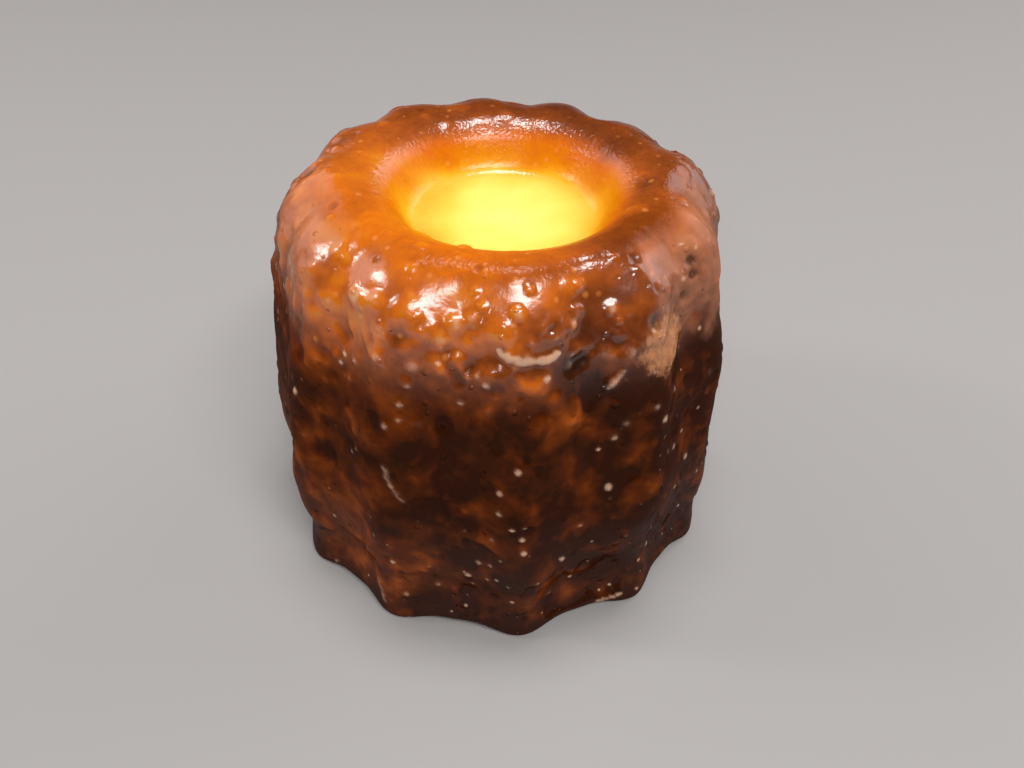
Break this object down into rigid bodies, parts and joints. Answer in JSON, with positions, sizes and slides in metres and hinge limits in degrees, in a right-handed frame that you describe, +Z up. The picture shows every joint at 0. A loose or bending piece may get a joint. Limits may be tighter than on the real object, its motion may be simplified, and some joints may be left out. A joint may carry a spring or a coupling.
{
  "type": "canele",
  "caption": "Small fluted baked cake with a dark caramelised crust, a rounded shoulder and a pale dimple in its top, standing on its flat underside.",
  "frame": {"origin": "middle of the underside, on the surface that the cake stands on", "axes": "+Z up through the dimple, -Y towards the pictured side"},
  "size_m": [0.0566, 0.0566, 0.046],
  "materials": {
    "crust": "glossy dark brown caramelised crust, amber in thin places, turning orange and then pale yellow in the dimple"
  },
  "bodies": {
    "root": {"canele": "crust"}
  },
  "joints": []
}
